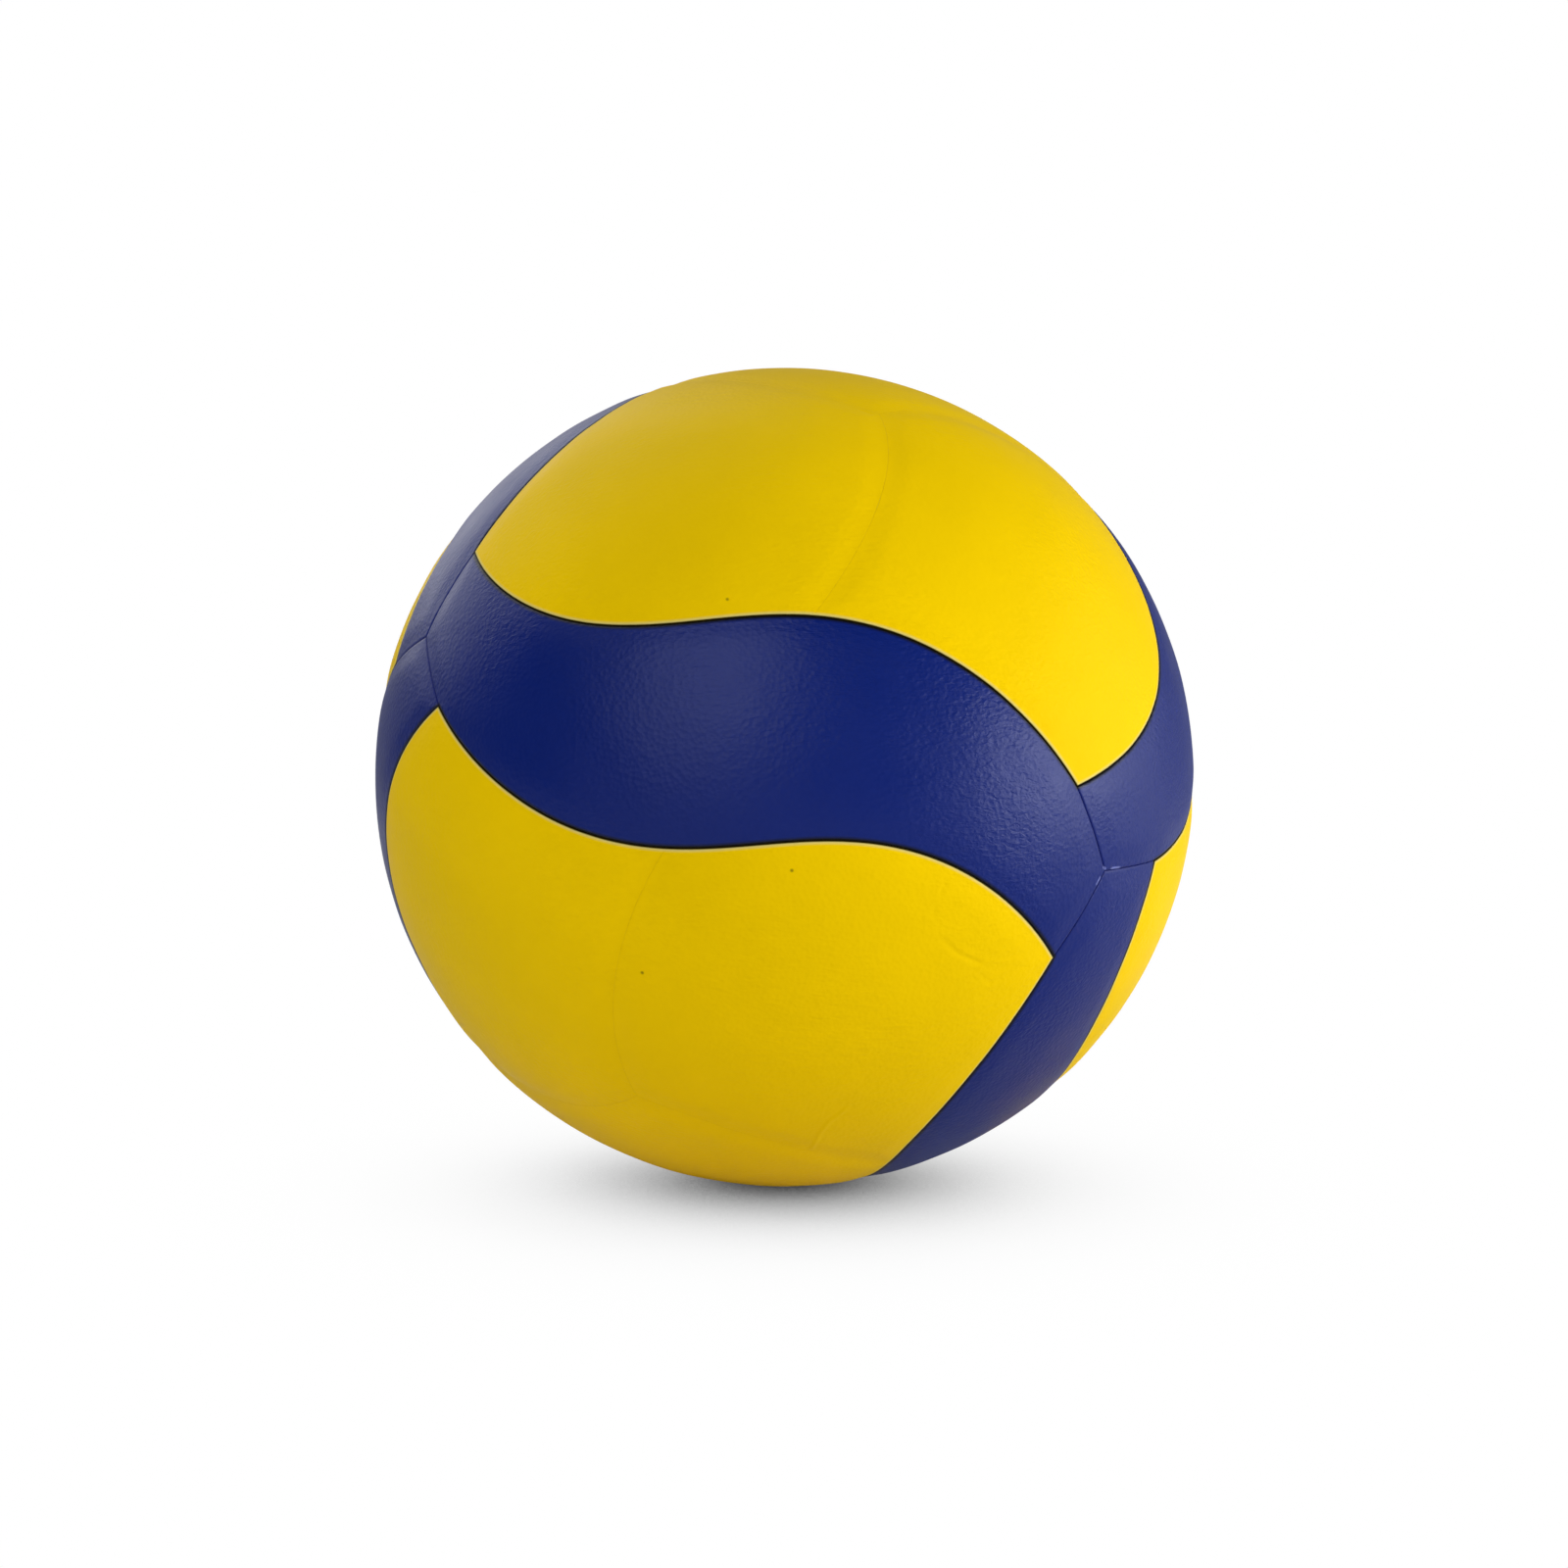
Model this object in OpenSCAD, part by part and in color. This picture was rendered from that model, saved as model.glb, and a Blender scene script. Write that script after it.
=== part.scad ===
// Indoor match ball with a laminated cover: eighteen swirled panels glued over foam,
// a moulded rubber carcass, a wound nylon thread layer and a butyl bladder with its valve.
// The origin is the ball's centre and +Z is up as the ball lies.

/* [Ball] */
// Outside diameter of the inflated ball
ball_d = 210; // [190:1:230]
// Film of latex glue between one layer and the next
bond = 0.05; // [0.02:0.01:0.1]

/* [Cover panels] */
// Thickness of the synthetic leather
cover_t = 1.1; // [0.9:0.1:1.6]
// Width left open between two neighbouring panels
seam_gap = 0.2; // [0.1:0.05:0.4]
// Width of the skived edge where the colours meet
edge_w = 0.9; // [0.4:0.1:1.4]
// Width of the skived edge between two yellow panels
hairline_w = 0.4; // [0.2:0.1:0.8]
// Depth of the skived edge
edge_h = 0.6; // [0.4:0.05:0.8]
// Width over which a panel slopes down to its skived edge
slope_w = 3.6; // [2.4:0.2:4]
// Depth of that slope at the skived edge
slope_h = 0.35; // [0.2:0.05:0.5]

/* [Foam backing] */
// Thickness of the foam pad behind each panel
foam_t = 2.5; // [1.5:0.1:3.5]

/* [Carcass, winding and bladder] */
// Thickness of the moulded rubber carcass
carcass_t = 0.4; // [0.3:0.1:0.8]
// Thickness of the wound nylon thread
winding_t = 0.4; // [0.3:0.1:0.8]
// Wall of the butyl bladder
bladder_t = 0.6; // [0.4:0.1:1]

/* [Valve] */
// Diameter of the punched hole in the cover
punch_d = 6; // [5:0.5:8]
// Diameter of the valve plug's head, which fills the punched hole
head_d = 5.6; // [4:0.1:7]
// Depth of the head below the cover's surface
head_sink = 0.3; // [0.2:0.1:0.8]
// Diameter of the valve plug's body
plug_d = 7; // [6.5:0.1:9]
// Clearance between the plug and each hole that it passes
plug_clear = 0.05; // [0.02:0.01:0.1]
// Diameter of the foot that locks behind the valve seat
foot_d = 9.6; // [8:0.1:12]
// Height of the foot
foot_h = 3; // [2:0.5:5]
// Diameter of the foot's blunt tip
foot_tip_d = 3.8; // [2:0.2:6]
// Diameter of the flange that bonds the valve seat to the bladder
flange_d = 38; // [30:1:50]
// Thickness of that flange
flange_t = 0.9; // [0.6:0.1:1.4]
// Diameter of the valve seat's boss
boss_d = 15; // [13:0.5:20]
// Height of the boss inside the bladder
boss_h = 9; // [6:0.5:14]
// Diameter of the pilot bore that takes the inflating needle
needle_d = 1.9; // [1.6:0.1:2.2]
// Length of the pilot bore's straight wall
needle_l = 6.5; // [4:0.5:9]
// Diameter of the dimple that leads the needle in
funnel_d = 2.9; // [2.5:0.1:4]
// Depth of the dimple
funnel_h = 0.3; // [0.2:0.05:0.5]

/* [Hidden] */
// How the ball lies: turns about X, Y and Z, in degrees
lie = [73, 62.8, -20.9];
// Facets of the round surfaces
$fn = 120;

// Seams are drawn on a flat chart of one cube face: along the blue strip, then across it.
// The three junctions of blue strips nearest to a face lie at 1 along, the yellow ones at 1 across.
strip_end_share = [1, 0];
yellow_junction_share = [0, 1];
// The blue strip's shoulder, where its straight end meets its long curved side
shoulder_share = [0.707, 0.147];
// The two handles that pull that side into its S, the first one's end first
leave_share = [-0.255, 0.47];
arrive_share = [0.072, -0.206];
// The handle that bows the seam between two yellow panels
bow_share = [0.14, 0.55];
// Steps along the strip's straight end, along its curved side, to the yellow seam that
// leaves that side, and along that seam
end_steps = 3;
side_steps = 25;
branch_step = 9;
bow_steps = 8;
// The cutter's lid lies well outside the ball, so that its flat facets clear the round cover
lid_share = 1.4;

ball_r = ball_d / 2;
cover_in = ball_r - cover_t;
foam_out = cover_in - bond;
foam_in = foam_out - foam_t;
carcass_out = foam_in - bond;
carcass_in = carcass_out - carcass_t;
winding_out = carcass_in - bond;
winding_in = winding_out - winding_t;
bladder_out = winding_in - bond;
bladder_in = bladder_out - bladder_t;
seat_out = bladder_in - bond;
seat_in = seat_out - flange_t;
boss_end = seat_in - boss_h;
head_top = ball_r - head_sink;
hole_d = plug_d + 2 * plug_clear;
yellow = "#EBC41A";
blue = "#232E6B";

function unit(v) = v / norm(v);
// From the chart to a direction, and back
function spot(q) = unit([q[0] - q[1], q[0] + q[1], 1]);
function chart(v) = [v[0] + v[1], v[1] - v[0]] / (2 * v[2]);
// A third of a turn about the yellow junction, and half a turn about the strip's middle
function third(v) = [-v[2], -v[0], v[1]];
function half(v) = [-v[0], -v[1], v[2]];
function mix(a, b, t) = a * (1 - t) + b * t;
function cubic(a, b, c, d, t) =
    a * pow(1 - t, 3) + 3 * b * t * pow(1 - t, 2) + 3 * c * t * t * (1 - t) + d * pow(t, 3);
function quadratic(a, b, c, t) = a * pow(1 - t, 2) + 2 * b * t * (1 - t) + c * t * t;

// The long side of a blue strip runs from its shoulder to the next strip's shoulder
far_share = chart(third(spot(shoulder_share)));
side = [
    for (i = [0:side_steps])
        spot(cubic(shoulder_share, leave_share, arrive_share, far_share, i / side_steps))
];
// The seam between two yellow panels leaves that side and ends at the yellow junction
branch = chart(side[branch_step]);
bow = [for (i = [0:bow_steps]) spot(quadratic(branch, bow_share, yellow_junction_share, i / bow_steps))];

// The strip's straight end, from the blue junction to the shoulder, and the far one
near_end = [for (i = [0:end_steps - 1]) spot(mix(strip_end_share, shoulder_share, i / end_steps))];
far_end = [for (i = [1:end_steps - 1]) spot(mix(far_share, -strip_end_share, i / end_steps))];

// Panel outlines as directions, anticlockwise seen from outside
half_outline = concat(near_end, side, far_end);
strip_outline = concat(half_outline, [for (v = half_outline) half(v)]);
kite_outline = concat(
    [spot(yellow_junction_share)],
    [for (i = [bow_steps - 1:-1:0]) third(bow[i])],
    [for (i = [branch_step - 1:-1:0]) third(side[i])],
    [for (i = [side_steps - 1:-1:branch_step]) side[i]],
    [for (i = [1:bow_steps - 1]) bow[i]]
);
// Width of the skived edge on each stretch of an outline
strip_edges = [for (v = strip_outline) edge_w];
kite_edges = [
    for (i = [0:len(kite_outline) - 1])
        i < bow_steps || i >= len(kite_outline) - bow_steps ? hairline_w : edge_w
];

// The step inwards at a corner that draws its two stretches in by a and b
function corner(m, n, a, b) = abs(a - b) > 0
    ? (m * (a - b * (m * n)) + n * (b - a * (m * n))) / (1 - pow(m * n, 2))
    : a * (m + n) / (1 + m * n);
// A ring of points over an outline, each stretch drawn in by its own width
function ring(outline, widths, r) = [
    for (i = [0:len(outline) - 1])
        let (
            count = len(outline),
            before = (i + count - 1) % count,
            here = outline[i],
            m = unit(cross(outline[before], here)),
            n = unit(cross(here, outline[(i + 1) % count]))
        )
        r * unit(here * ball_r + corner(m, n, widths[before], widths[i]))
];
// Two triangles for each stretch between one ring and the next
function band(count, low, high) = [
    for (i = [0:count - 1])
        let (j = (i + 1) % count)
        each [[low + i, high + i, high + j], [low + i, high + j, low + j]]
];
// A lid that zigzags across the outline from its first point
function lid(count, base) = [
    for (i = [0:count / 2 - 1])
        each [
            [base + i, base + (count - i) % count, base + i + 1],
            if (count - i - 1 > i + 1)
                [base + i + 1, base + (count - i) % count, base + count - i - 1]
        ]
];
function thin(faces) = [for (f = faces) if (f[0] != f[1] && f[1] != f[2] && f[0] != f[2]) f];

// A cutter with its point at the ball's centre and straight walls through each seam
module straight_cutter(outline) {
    count = len(outline);
    gaps = [for (v = outline) seam_gap / 2];
    polyhedron(
        points = concat([[0, 0, 0]], ring(outline, gaps, ball_r * lid_share)),
        faces = concat(
            [for (i = [0:count - 1]) [0, 1 + i, 1 + (i + 1) % count]],
            thin(lid(count, 1))
        )
    );
}

// The same cutter drawn in twice at the top: a steep skived edge, then a gentle slope
// that ends in the round face, so that every seam lies in a shallow valley
module skived_cutter(outline, widths) {
    count = len(outline);
    gaps = [for (v = outline) seam_gap / 2];
    skived = [for (w = widths) seam_gap / 2 + w];
    sloped = [for (w = widths) seam_gap / 2 + slope_w];
    polyhedron(
        points = concat(
            [[0, 0, 0]],
            ring(outline, gaps, ball_r - edge_h),
            ring(outline, skived, ball_r - slope_h),
            ring(outline, sloped, ball_r + slope_h / 2),
            ring(outline, sloped, ball_r * lid_share)
        ),
        faces = concat(
            [for (i = [0:count - 1]) [0, 1 + i, 1 + (i + 1) % count]],
            band(count, 1, 1 + count),
            band(count, 1 + count, 1 + 2 * count),
            band(count, 1 + 2 * count, 1 + 3 * count),
            thin(lid(count, 1 + 3 * count))
        )
    );
}

// A hollow sphere, turned so that its poles stay out of the panel that is cut from it
module shell(outer, inner) {
    rotate([0, 90, 0])
        difference() {
            sphere(r = outer);
            sphere(r = inner);
        }
}

// Places of the six strips and the twelve kites: thirds of a turn, then half turns
half_turns = [[0, 0, 0], [180, 0, 0], [0, 180, 0], [0, 0, 180]];
module at_strip(k) {
    rotate(lie) rotate(120 * floor(k / 2), [1, 1, 1]) rotate(half_turns[k % 2]) children();
}
module at_kite(k) {
    rotate(lie) rotate(120 * floor(k / 4), [1, 1, 1]) rotate(half_turns[k % 4]) children();
}

// The valve sits in the middle of the second strip, on the side turned away
function has_valve(k) = k == 1;
module at_valve() {
    at_strip(1) children();
}
module valve_way(d) {
    translate([0, 0, boss_end]) cylinder(d = d, h = ball_d - boss_end);
}

module blue_panel(k) {
    color(blue)
        at_strip(k)
            difference() {
                intersection() {
                    shell(ball_r, cover_in);
                    skived_cutter(strip_outline, strip_edges);
                }
                if (has_valve(k)) valve_way(punch_d);
            }
}

module yellow_panel(k) {
    color(yellow)
        at_kite(k)
            intersection() {
                shell(ball_r, cover_in);
                skived_cutter(kite_outline, kite_edges);
            }
}

module blue_pad(k) {
    color("gainsboro")
        at_strip(k)
            difference() {
                intersection() {
                    shell(foam_out, foam_in);
                    straight_cutter(strip_outline);
                }
                if (has_valve(k)) valve_way(hole_d);
            }
}

module yellow_pad(k) {
    color("gainsboro")
        at_kite(k)
            intersection() {
                shell(foam_out, foam_in);
                straight_cutter(kite_outline);
            }
}

// A closed layer that only the valve passes
module layer(outer, inner) {
    at_valve()
        difference() {
            shell(outer, inner);
            valve_way(hole_d);
        }
}

module carcass() {
    color("tan") layer(carcass_out, carcass_in);
}

module thread_winding() {
    color("ivory") layer(winding_out, winding_in);
}

module bladder() {
    color("dimgray") layer(bladder_out, bladder_in);
}

// Flange on the bladder's inside, and a boss with a tapered root that grips the plug
module valve_seat() {
    root = (flange_d - boss_d) / 2;
    color("dimgray")
        at_valve()
            difference() {
                union() {
                    intersection() {
                        shell(seat_out, seat_in);
                        cylinder(d = flange_d, h = ball_d);
                    }
                    intersection() {
                        union() {
                            translate([0, 0, boss_end]) cylinder(d = boss_d, h = ball_r - boss_end);
                            translate([0, 0, seat_in - boss_h / 2])
                                cylinder(d1 = boss_d, d2 = boss_d + root, h = boss_h / 2);
                        }
                        sphere(r = (seat_out + seat_in) / 2);
                    }
                }
                translate([0, 0, boss_end - boss_h]) cylinder(d = hole_d, h = ball_d);
            }
}

// The plug is one revolve: head, body, and a foot behind the boss, with a blind way for the needle
module valve_plug() {
    color("darkslategray")
        at_valve()
            rotate_extrude()
                polygon([
                    [0, boss_end - plug_clear - foot_h],
                    [foot_tip_d / 2, boss_end - plug_clear - foot_h],
                    [foot_d / 2, boss_end - plug_clear - foot_h / 3],
                    [foot_d / 2, boss_end - plug_clear],
                    [plug_d / 2, boss_end - plug_clear],
                    [plug_d / 2, cover_in - bond],
                    [head_d / 2, cover_in - bond],
                    [head_d / 2, head_top],
                    [funnel_d / 2, head_top],
                    [needle_d / 2, head_top - funnel_h],
                    [needle_d / 2, head_top - funnel_h - needle_l],
                    [0, head_top - funnel_h - needle_l]
                ]);
}

strips = [0:5];
kites = [0:11];

bladder();
valve_seat();
valve_plug();
thread_winding();
carcass();
for (k = strips) blue_pad(k);
for (k = kites) yellow_pad(k);
for (k = strips) blue_panel(k);
for (k = kites) yellow_panel(k);
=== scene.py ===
# %% [markdown]
# # A ball with a swirled, laminated cover
#
# The object is an indoor match ball, 210 mm across. Its cover is eighteen pieces of synthetic
# leather: six long blue strips bent into an S, and twelve yellow kites that fill the space
# between them. Each piece is die-cut, its edge is skived thin, and it is glued over foam onto a
# rubber carcass. What the eye reads is the S of the strips, the shallow valley along each seam,
# the thin dark line where blue meets yellow, and the soft shine of the leather.
#
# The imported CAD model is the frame. It holds every piece in its place, and this script dresses
# it: each cover panel gets a finer skin of its own, and the valve and the layers inside get
# materials. All lengths are in metres, and the ball's centre is the origin.

# %% Load the frame
import math

import bpy
import numpy as np
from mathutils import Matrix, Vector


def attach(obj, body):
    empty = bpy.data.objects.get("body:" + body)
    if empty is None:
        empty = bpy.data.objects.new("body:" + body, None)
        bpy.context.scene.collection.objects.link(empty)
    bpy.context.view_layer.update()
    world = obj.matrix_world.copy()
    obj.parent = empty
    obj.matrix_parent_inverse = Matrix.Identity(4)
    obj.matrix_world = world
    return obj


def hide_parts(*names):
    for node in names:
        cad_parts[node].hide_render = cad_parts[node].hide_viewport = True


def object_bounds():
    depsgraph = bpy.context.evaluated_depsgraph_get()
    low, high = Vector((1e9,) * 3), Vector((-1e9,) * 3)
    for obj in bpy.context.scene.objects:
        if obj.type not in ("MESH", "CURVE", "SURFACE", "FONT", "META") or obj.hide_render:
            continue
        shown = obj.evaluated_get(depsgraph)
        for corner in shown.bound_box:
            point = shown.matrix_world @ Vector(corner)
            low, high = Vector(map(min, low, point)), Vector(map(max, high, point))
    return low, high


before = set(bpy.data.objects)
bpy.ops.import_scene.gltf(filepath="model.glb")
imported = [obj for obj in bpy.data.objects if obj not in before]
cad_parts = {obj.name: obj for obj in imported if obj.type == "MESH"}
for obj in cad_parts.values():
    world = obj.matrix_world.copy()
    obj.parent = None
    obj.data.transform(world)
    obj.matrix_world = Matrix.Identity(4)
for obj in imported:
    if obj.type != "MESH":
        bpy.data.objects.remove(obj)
cad_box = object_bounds()
MM = 0.001
BALL_R = 0.105


def in_mm(box):
    """The two corners of a box in mm, rounded for printing."""
    return [[round(value / MM, 2) for value in corner] for corner in box]


print("CAD box in mm:", in_mm(cad_box))

# %% [markdown]
# ## Seams as curves on the sphere
#
# The cover has the symmetry of a tetrahedron without its mirrors, so one strip and one kite,
# turned twelve ways, give all of it. Their outlines could be traced as long lists of points.
# Instead they are drawn as the pattern maker would: on a flat chart of one cube face, where a
# straight line is a great circle of the ball and one cubic curve is the strip's long side. The
# values are the ones that the CAD model uses, so every skin has the outline of its panel.

# %% The chart and its turns
def unit(v):
    """The vector with length one."""
    return v / np.linalg.norm(v, axis=-1, keepdims=True)


def spot(q):
    """A point of the chart as a direction from the ball's centre."""
    return unit(np.stack([q[..., 0] - q[..., 1], q[..., 0] + q[..., 1], np.ones(q.shape[:-1])], -1))


def chart(v):
    """A direction as a point of the chart."""
    return np.array([v[0] + v[1], v[1] - v[0]]) / (2 * v[2])


def third(v):
    """A third of a turn about the yellow junction."""
    return np.stack([-v[..., 2], -v[..., 0], v[..., 1]], -1)


def half(v):
    """Half a turn about the middle of the strip."""
    return v * np.array([-1.0, -1.0, 1.0])


print("middle of the strip, as a direction:", spot(np.zeros(2)))

# %% The seam curves
STRIP_END_SHARE = np.array([1.0, 0.0])
YELLOW_JUNCTION_SHARE = np.array([0.0, 1.0])
SHOULDER_SHARE = np.array([0.707, 0.147])
LEAVE_SHARE = np.array([-0.255, 0.47])
ARRIVE_SHARE = np.array([0.072, -0.206])
BOW_SHARE = np.array([0.14, 0.55])
BRANCH_SHARE = 9 / 25
CURVE_STEPS = 300
# The straight ends and the bow need fewer points than the long side
END_EVERY = 6
BOW_EVERY = 3


def cubic(a, b, c, d, t):
    """A cubic curve from a to d, drawn towards b and c on the way."""
    t = t[:, None]
    return a * (1 - t) ** 3 + 3 * b * t * (1 - t) ** 2 + 3 * c * t**2 * (1 - t) + d * t**3


def quadratic(a, b, c, t):
    """A quadratic curve from a to c, drawn towards b on the way."""
    t = t[:, None]
    return a * (1 - t) ** 2 + 2 * b * t * (1 - t) + c * t**2


def length_mm(curve):
    """The length in mm on the ball of a curve of directions."""
    return float(np.linalg.norm(np.diff(curve, axis=0), axis=1).sum() * BALL_R / MM)


along = np.linspace(0, 1, CURVE_STEPS + 1)
FAR_SHARE = chart(third(spot(SHOULDER_SHARE)))
long_side = spot(cubic(SHOULDER_SHARE, LEAVE_SHARE, ARRIVE_SHARE, FAR_SHARE, along))
near_end = spot(STRIP_END_SHARE + (SHOULDER_SHARE - STRIP_END_SHARE) * along[::END_EVERY, None])
far_end = spot(FAR_SHARE + (-STRIP_END_SHARE - FAR_SHARE) * along[::END_EVERY, None])
branch = round(BRANCH_SHARE * CURVE_STEPS)
bow_start = chart(long_side[branch])
bow = spot(quadratic(bow_start, BOW_SHARE, YELLOW_JUNCTION_SHARE, along[::BOW_EVERY]))
print("long side in mm:", round(length_mm(long_side), 1))

# %% [markdown]
# ## Where the eighteen panels lie
#
# The ball rests with one blue strip turned to the viewer. The same three turns that the CAD
# model makes, about X, Y and Z, bring the pattern into that lie, and thirds and halves of a turn
# carry the first strip and kite to all the others.

# %% The places of the panels
LIE_DEGREES = (73.0, 62.8, -20.9)


def turn(axis, degrees):
    """A rotation matrix about an axis."""
    x, y, z = unit(np.array(axis, dtype=float))
    c, s = math.cos(math.radians(degrees)), math.sin(math.radians(degrees))
    cross = np.array([[0, -z, y], [z, 0, -x], [-y, x, 0]])
    return np.eye(3) * c + s * cross + (1 - c) * np.outer([x, y, z], [x, y, z])


about_x, about_y, about_z = LIE_DEGREES
LIE = turn((0, 0, 1), about_z) @ turn((0, 1, 0), about_y) @ turn((1, 0, 0), about_x)
# Thirds of a turn about a corner of the cube, and halves about its three axes
THIRDS = [turn((1, 1, 1), degrees) for degrees in (0, 120, 240)]
HALVES = [np.eye(3)] + [turn(axis, 180) for axis in ((1, 0, 0), (0, 1, 0), (0, 0, 1))]
strip_places = [LIE @ a @ b for a in THIRDS for b in HALVES[:2]]
kite_places = [LIE @ a @ b for a in THIRDS for b in HALVES]
print("places:", len(strip_places), "strips and", len(kite_places), "kites")

# %% [markdown]
# ## A camera that looks as the photographer did
#
# The outline of the ball in the photograph gives the lens, and how much its seams bow gives the
# distance: six radii. The camera comes early, because a few marks in the leather are placed by
# where they lie in the picture: the script shoots a ray through that pixel and takes the point
# where it meets the ball.

# %% The camera
PHOTO_SIZE_PX = 1600
BALL_CENTRE_PX = (800.3, 792.9)
FOCAL_PX = 2469.0
CAMERA_DISTANCE = 5.99 * BALL_R
CAMERA_ELEVATION = math.radians(2.0)
SENSOR_MM = 36.0

camera_data = bpy.data.cameras.new("camera")
camera_data.sensor_width = SENSOR_MM
camera_data.lens = SENSOR_MM * FOCAL_PX / PHOTO_SIZE_PX
camera_data.shift_x = (PHOTO_SIZE_PX / 2 - BALL_CENTRE_PX[0]) / PHOTO_SIZE_PX
camera_data.shift_y = (BALL_CENTRE_PX[1] - PHOTO_SIZE_PX / 2) / PHOTO_SIZE_PX
camera = bpy.data.objects.new("camera", camera_data)
camera.location = (
    0,
    -CAMERA_DISTANCE * math.cos(CAMERA_ELEVATION),
    CAMERA_DISTANCE * math.sin(CAMERA_ELEVATION),
)
camera.rotation_euler = (math.pi / 2 - CAMERA_ELEVATION, 0, 0)
bpy.context.scene.collection.objects.link(camera)
bpy.context.scene.camera = camera


def spot_in_photo(pixel):
    """The direction from the ball's centre to the place on the ball that lies at a pixel."""
    right = (pixel[0] - BALL_CENTRE_PX[0]) / FOCAL_PX
    up = (BALL_CENTRE_PX[1] - pixel[1]) / FOCAL_PX
    back = np.array([0, -math.cos(CAMERA_ELEVATION), math.sin(CAMERA_ELEVATION)])
    above = np.array([0, math.sin(CAMERA_ELEVATION), math.cos(CAMERA_ELEVATION)])
    ray = unit(np.array([right, 0, 0]) + up * above - back)
    start = back * CAMERA_DISTANCE
    to_middle = -(start @ ray)
    to_surface = to_middle - math.sqrt(to_middle**2 - start @ start + BALL_R**2)
    return unit(start + to_surface * ray)


print("lens in mm:", round(camera_data.lens, 2))

# %% [markdown]
# ## The form of one panel's edge
#
# A panel isn't a cut piece of a sphere. Its leather is skived thin along the edge and pressed
# down onto the carcass, so over the last six millimetres the face dips into a soft valley, and
# at the very edge it rolls over the cut. Between blue and yellow the roll is wide and leaves a
# groove. Two yellow panels are butted so closely that only the valley shows. This could be a bump
# texture, but the light rakes across the seams, and only real depth gives a lit flank on one side
# and a shaded flank on the other. So it is a height that depends on the distance to the seam.

# %% Height of the skin by distance from a seam
# The round face lies 0.04 mm inside the CAD ball, so that no skin stands outside its box
SKIN_R = 0.10496
# A panel's back lies this deep, just above its foam pad
BACK_DEPTH_MM = 1.08
HALF_GAP_MM = 0.012
# Width and depth in mm of the valley, then of the rolled edge
BLUE_BESIDE_YELLOW_MM = (6.0, 0.3, 1.0, 0.54)
BLUE_BESIDE_BLUE_MM = (6.5, 0.42, 0.7, 0.34)
YELLOW_BESIDE_BLUE_MM = (6.5, 0.34, 0.7, 0.34)
YELLOW_BESIDE_YELLOW_MM = (6.2, 0.36, 0.2, 0.02)


def edge_height(distance, seam):
    """The height in mm, negative below the round face, at a distance in mm from the cut."""
    valley_w, valley_h, roll_w, roll_h = seam
    valley = (1 + np.cos(math.pi * np.clip(distance / valley_w, 0, 1))) / 2
    roll = 1 - np.sqrt(1 - np.clip(1 - distance / roll_w, 0, 1) ** 2)
    return -valley_h * valley - roll_h * roll


cut_depth = -float(edge_height(np.zeros(1), BLUE_BESIDE_YELLOW_MM)[0])
print("depth at the cut in mm:", round(cut_depth, 2))

# %% [markdown]
# ## A grid that follows the outline
#
# Each panel has four sides. A surface between four curves could be filled with triangles, but
# even quads that run along the edges shade far better. A Coons patch does that: it blends the
# two pairs of opposite sides. Lines of the grid lie close together along the seams, where the
# form changes fast, and 1.35 mm apart in the middle.

# %% A patch between four sides
def along_curve(points, shares):
    """Points at given shares of a curve's length."""
    steps = np.linalg.norm(np.diff(points, axis=0), axis=1)
    travelled = np.concatenate([[0], np.cumsum(steps)]) / steps.sum()
    return np.stack([np.interp(shares, travelled, points[:, i]) for i in range(3)], -1)


def coons(bottom, top, left, right, s, t):
    """The blend of four sides. Bottom and top run with the share s, left and right with t."""
    s3, t3 = s[..., None], t[..., None]
    ruled = (1 - t3) * along_curve(bottom, s) + t3 * along_curve(top, s)
    ruled = ruled + (1 - s3) * along_curve(left, t) + s3 * along_curve(right, t)
    near_corners = (1 - s3) * bottom[0] + s3 * bottom[-1]
    far_corners = (1 - s3) * top[0] + s3 * top[-1]
    corners = (1 - t3) * near_corners + t3 * far_corners
    return unit(ruled - corners)


strip_sides = [
    np.concatenate([near_end[:-1], long_side]),
    half(np.concatenate([near_end[:-1], long_side]))[::-1],
    half(far_end)[::-1],
    far_end,
]
kite_sides = [
    third(bow)[::-1],
    long_side[branch:],
    bow[::-1],
    third(long_side[: branch + 1])[::-1],
]
print("sides of a strip in mm:", [round(length_mm(side), 1) for side in strip_sides])
print("sides of a kite in mm:", [round(length_mm(side), 1) for side in kite_sides])

# %% Grids of a strip and of a kite
# The distances from the seam of the grid's outer lines, and how far apart the inner ones are
EDGE_LINES_MM = np.array([HALF_GAP_MM, 0.08, 0.16, 0.28, 0.45, 0.7, 1.1, 1.6, 2.3, 3.2, 4.3, 5.6])
MIDDLE_STEP_MM = 1.35
MEASURE_POINTS = 81
MEASURE_LINES = 9


def line_shares(length_mm, count):
    """Shares of a length for all grid lines: close together at both ends, even between."""
    margin = EDGE_LINES_MM[-1] / length_mm
    near = EDGE_LINES_MM / length_mm
    middle = np.linspace(margin, 1 - margin, count + 1)[1:-1]
    return np.concatenate([near, middle, 1 - near[::-1]])


def lengths_across(bottom, top, left, right, at, with_s):
    """The patch's length in mm, measured across it at each share in at."""
    fine = np.linspace(0, 1, MEASURE_POINTS)
    a, b = np.meshgrid(at, fine, indexing="ij")
    points = coons(bottom, top, left, right, *((b, a) if with_s else (a, b)))
    return np.linalg.norm(np.diff(points, axis=1), axis=2).sum(axis=1) * BALL_R / MM


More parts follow.
